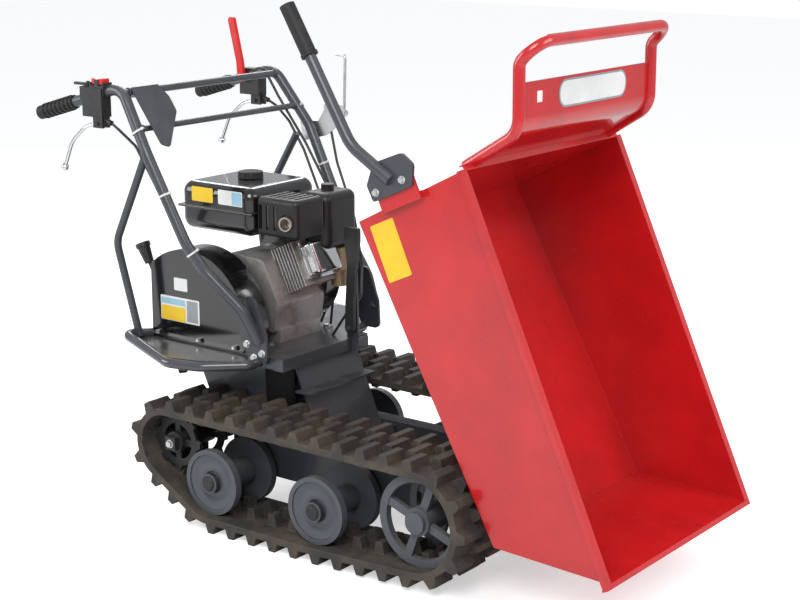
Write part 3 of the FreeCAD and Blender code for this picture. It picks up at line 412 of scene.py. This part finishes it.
# Cable ties: white nylon strips pulled tight round a bar and the cable beside it, with a
# square head.
nylon = Finish("white_nylon")
cloudy = nylon.noise(90, 3, 0.6)
nylon.feed(Base_Color=nylon.mix(cloudy, (0.78, 0.78, 0.76, 1), (0.60, 0.59, 0.56, 1)),
           Roughness=0.35 + cloudy * 0.2, Normal=nylon.bump(cloudy, 0.00005))
tie_places = ((-226, 275.5, 871.4, (96, -22, -136)), (-148, 275.2, 737.5, (104, -10, -196)),
              (-80, 264.8, 613.4, (35, -18, -55)))
for side, sign in (("left", 1), ("right", -1)):
    for count, (x, y, z, run) in enumerate(tie_places):
        tie = spun([(12.7, -2.2), (13.6, -2.2), (13.6, 2.2), (12.7, 2.2)], steps=40, closed=True)
        head = bmesh.ops.create_cube(tie, size=0.006, matrix=Matrix.Translation((0, 0, 0.0155)))["verts"]
        bmesh.ops.bevel(tie, geom=list({e for v in head for e in v.link_edges}), offset=0.0008, affect="EDGES",
                        segments=2, profile=0.5, material=-1)
        along = Vector((run[0], sign * run[1], run[2]))
        bmesh.ops.rotate(tie, verts=tie.verts, matrix=along.to_track_quat("Y", "Z").to_matrix())
        bmesh.ops.translate(tie, verts=tie.verts, vec=at(x, sign * y, z))
        new_piece(f"cable_tie_{count}_{side}", tie, "chassis", nylon)


# Skip and guard: folded and welded sheet with a bent tube over its rear end, in bright red
# gloss. A yellow patch and a white plate are stuck on it, both blank.
red_paint = coated("red_paint", (0.56, 0.010, 0.012, 1), 0.20, coat=0.6, worn=0.12, dusty=0.03,
                   under=(0.30, 0.05, 0.04, 1), dust=(0.55, 0.20, 0.16, 1), radius=0.0016)
dress(red_paint, "skip_tub", "guard_tube", "guard_sheet")

yellow_film = coated("yellow_film", (0.86, 0.56, 0.02, 1), 0.32, worn=0, dusty=0.12, dust=(0.7, 0.6, 0.4, 1))
white_film = coated("white_film", (0.80, 0.81, 0.80, 1), 0.30, worn=0, dusty=0.12, dust=(0.6, 0.57, 0.5, 1))
grey_film = coated("grey_film", (0.30, 0.32, 0.33, 1), 0.35, worn=0, dusty=0.1)
blue_film = coated("blue_film", (0.33, 0.55, 0.68, 1), 0.32, worn=0, dusty=0.1)


def film(name, width, height, corner, thick, turns, place, body, finish):
    """A thin patch with round corners, drawn flat in X-Y, turned and set on a surface."""
    shape = bmesh.new()
    bmesh.ops.create_grid(shape, x_segments=1, y_segments=1, size=0.5)
    bmesh.ops.scale(shape, vec=(width / 1000, height / 1000, 1), verts=shape.verts)
    bmesh.ops.bevel(shape, geom=shape.verts[:], offset=corner / 1000, affect="VERTICES", segments=6,
                    profile=0.5, material=-1)
    walls = bmesh.ops.extrude_face_region(shape, geom=shape.faces[:])
    bmesh.ops.translate(shape, vec=(0, 0, thick / 1000),
                        verts=[g for g in walls["geom"] if isinstance(g, bmesh.types.BMVert)])
    bmesh.ops.transform(shape, matrix=turns, verts=shape.verts)
    bmesh.ops.translate(shape, vec=place, verts=shape.verts)
    return new_piece(name, shape, body, finish)


tip = math.radians(65.7)


def skip_point(along, across, up):
    """A point measured on the level skip from its rear rim, moved to the tipped place."""
    return at(666 + math.cos(tip) * along + math.sin(tip) * up, across,
              878 - math.sin(tip) * along + math.cos(tip) * up)


face_right = Matrix.Rotation(math.pi / 2, 4, "X")
film("skip_patch", 120, 62, 3, 0.4, Matrix.Rotation(tip, 4, "Y") @ face_right, skip_point(92, -285, -238),
     "skip",
     yellow_film)
face_front = Matrix(((0, 0, 1), (1, 0, 0), (0, 1, 0))).to_4x4()
film("guard_plate_edge", 258, 56, 25, 0.4, face_front,
     skip_point(-81.8, 20, 142.5) + Vector((0.0001, 0, 0)), "skip",
     grey_film)
film("guard_plate", 250, 48, 22, 0.8, face_front, skip_point(-81.8, 20, 142.5), "skip", white_film)
film("guard_tab", 18, 22, 2, 0.6, face_front, skip_point(-84, -178, 143.5), "skip", white_film)

# Grips, levers and perches: moulded rubber and glass-filled plastic on the bars, chromed
# steering levers, and red plastic for the clutch lever and the stop switch.
grip_rubber = Finish("grip_rubber", Specular_IOR_Level=0.35)
pores = grip_rubber.noise(300, 5, 0.7)
worn_grip = grip_rubber.between(grip_rubber.noise(24, 5, 0.7), 0.45, 0.75)
soft_normal, edges = grip_rubber.rounded(0.0015)
grip_rubber.feed(Base_Color=grip_rubber.mix(worn_grip * 0.6, (0.014, 0.014, 0.015, 1),
                                            (0.060, 0.055, 0.050, 1)),
                 Roughness=0.55 + worn_grip * 0.3, Normal=grip_rubber.bump(pores, 0.0002, soft_normal))
dress(grip_rubber, *both("hand_grip"), "dump_grip", "drive_belt")


def moulded(name, colour, roughness, pale, grain=0.00006):
    """Moulded plastic with a fine grain, handling marks and softened edges."""
    plastic = Finish(name)
    soft_normal, edges = plastic.rounded(0.0012)
    marks = plastic.between(plastic.noise(30, 5, 0.7), 0.45, 0.8)
    plastic.feed(Base_Color=plastic.mix(marks * 0.35 + edges * 0.25, colour, pale),
                 Roughness=roughness + marks * 0.2,
                 Normal=plastic.bump(plastic.noise(700, 2), grain, soft_normal))
    return plastic


black_plastic = moulded("black_plastic", (0.015, 0.015, 0.016, 1), 0.42, (0.07, 0.068, 0.065, 1))
dress(black_plastic, *both("lever_perch"), "throttle_lever", "recoil_handle", "gear_lever")
red_plastic = moulded("red_plastic", (0.60, 0.010, 0.008, 1), 0.28, (0.65, 0.12, 0.10, 1))
dress(red_plastic, "stop_switch", "clutch_lever")
sheath = moulded("cable_sheath", (0.010, 0.010, 0.011, 1), 0.32, (0.06, 0.055, 0.05, 1))
dress(sheath, *both("steering_cable"), "control_cables")
chrome = Finish("chrome", Metallic=1.0, Base_Color=(0.80, 0.81, 0.82, 1))
smear = chrome.noise(22, 5, 0.7)
chrome.feed(Base_Color=chrome.mix(smear, (0.62, 0.63, 0.64, 1), (0.80, 0.80, 0.81, 1)),
            Roughness=0.06 + smear * 0.12, Normal=chrome.bump(smear, 0.00002))
dress(chrome, *both("steering_lever"), "rocker_cover")


# Engine: cast aluminium case and fins, gloss black sheet covers and tank, and a black pressed
# guard over the steel silencer.
cast = Finish("cast_aluminium", Metallic=0.85)
soft_normal, edges = cast.rounded(0.0012)
sand = cast.noise(380, 4, 0.7)
stain = cast.between(cast.noise(14, 6, 0.7), 0.42, 0.72)
cast.feed(Base_Color=cast.mix(stain * 0.7, (0.52, 0.51, 0.49, 1), (0.22, 0.19, 0.155, 1)),
          Roughness=0.42 + sand * 0.2 + stain * 0.2, Normal=cast.bump(sand, 0.00025, soft_normal))
dress(cast, "crankcase", "cylinder")
bronze_cast = Finish("carburettor_cast", Metallic=0.7)
sand = bronze_cast.noise(300, 4, 0.7)
bronze_cast.feed(Base_Color=bronze_cast.mix(sand, (0.20, 0.135, 0.075, 1), (0.42, 0.33, 0.22, 1)),
                 Roughness=0.4 + sand * 0.2, Normal=bronze_cast.bump(sand, 0.0002))
dress(bronze_cast, "carburettor")
gloss_black = coated("gloss_black", (0.006, 0.006, 0.007, 1), 0.10, coat=0.8, worn=0.08, dusty=0.14,
                     dust=(0.16, 0.15, 0.13, 1), radius=0.002)
dress(gloss_black, "fuel_tank", "belt_cover", "recoil_cover")
satin_black = coated("satin_black", (0.012, 0.012, 0.013, 1), 0.38, worn=0.15, dusty=0.25)
dress(satin_black, "muffler_guard", "air_cleaner")
scorched = Finish("scorched_steel", Metallic=1.0)
heat = scorched.noise(18, 5, 0.7)
scorched.feed(Base_Color=scorched.mix(heat, (0.36, 0.30, 0.24, 1), (0.60, 0.57, 0.52, 1)),
              Roughness=0.30 + heat * 0.25, Normal=scorched.bump(scorched.noise(200), 0.00006))
dress(scorched, "muffler")

cover_side, tank_side = -185, -112
film("cover_white_patch", 122, 58, 3, 0.3, face_right, at(-200, cover_side, 452), "chassis", white_film)
film("cover_yellow_patch", 76, 34, 2, 0.6, face_right, at(-221, cover_side, 441), "chassis", yellow_film)
film("cover_blue_strip", 76, 14, 2, 0.6, face_right, at(-221, cover_side, 469), "chassis", blue_film)
film("cover_grey_patch", 34, 50, 2, 0.6, face_right, at(-161, cover_side, 452), "chassis", grey_film)
film("cover_small_patch", 42, 30, 3, 0.4, face_right, at(-196, cover_side, 512), "chassis", white_film)
film("panel_yellow_patch", 38, 70, 4, 0.5, Matrix.Rotation(-math.atan2(53, 76), 4, "Y"),
     at(-285.7, -208, 951.4),
     "chassis", yellow_film)
film("tank_yellow_patch", 66, 34, 3, 0.4, face_right, at(-190, tank_side, 712), "chassis", yellow_film)
film("tank_white_patch", 74, 34, 3, 0.4, face_right, at(-104, tank_side, 712), "chassis", white_film)
film("tank_blue_patch", 30, 30, 3, 0.6, face_right, at(-84, tank_side, 712), "chassis", blue_film)

cap = bmesh.new()
bmesh.ops.create_cone(cap, cap_ends=True, segments=72, radius1=0.0300, radius2=0.0288, depth=0.014,
                      matrix=Matrix.Translation(at(-150, 10, 747)))
ribs = [f for f in cap.faces if abs(f.normal.z) < 0.5]
grooves = [f for f in ribs if int((math.atan2(f.calc_center_median().y - 0.010,
                                              f.calc_center_median().x - at(-150, 0, 0).x) + math.pi)
                                  / math.tau * 36) % 2 == 0]
bmesh.ops.inset_individual(cap, faces=grooves, thickness=0.0004, depth=-0.0010)
crown = [f for f in cap.faces if f.normal.z > 0.9 and f.calc_area() > 0.0005]
bmesh.ops.inset_region(cap, faces=crown, thickness=0.0035, depth=0)
bmesh.ops.inset_region(cap, faces=crown, thickness=0.0015, depth=0.0012)
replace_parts(new_piece("ribbed_fuel_cap", cap, "chassis", black_plastic), "fuel_cap")
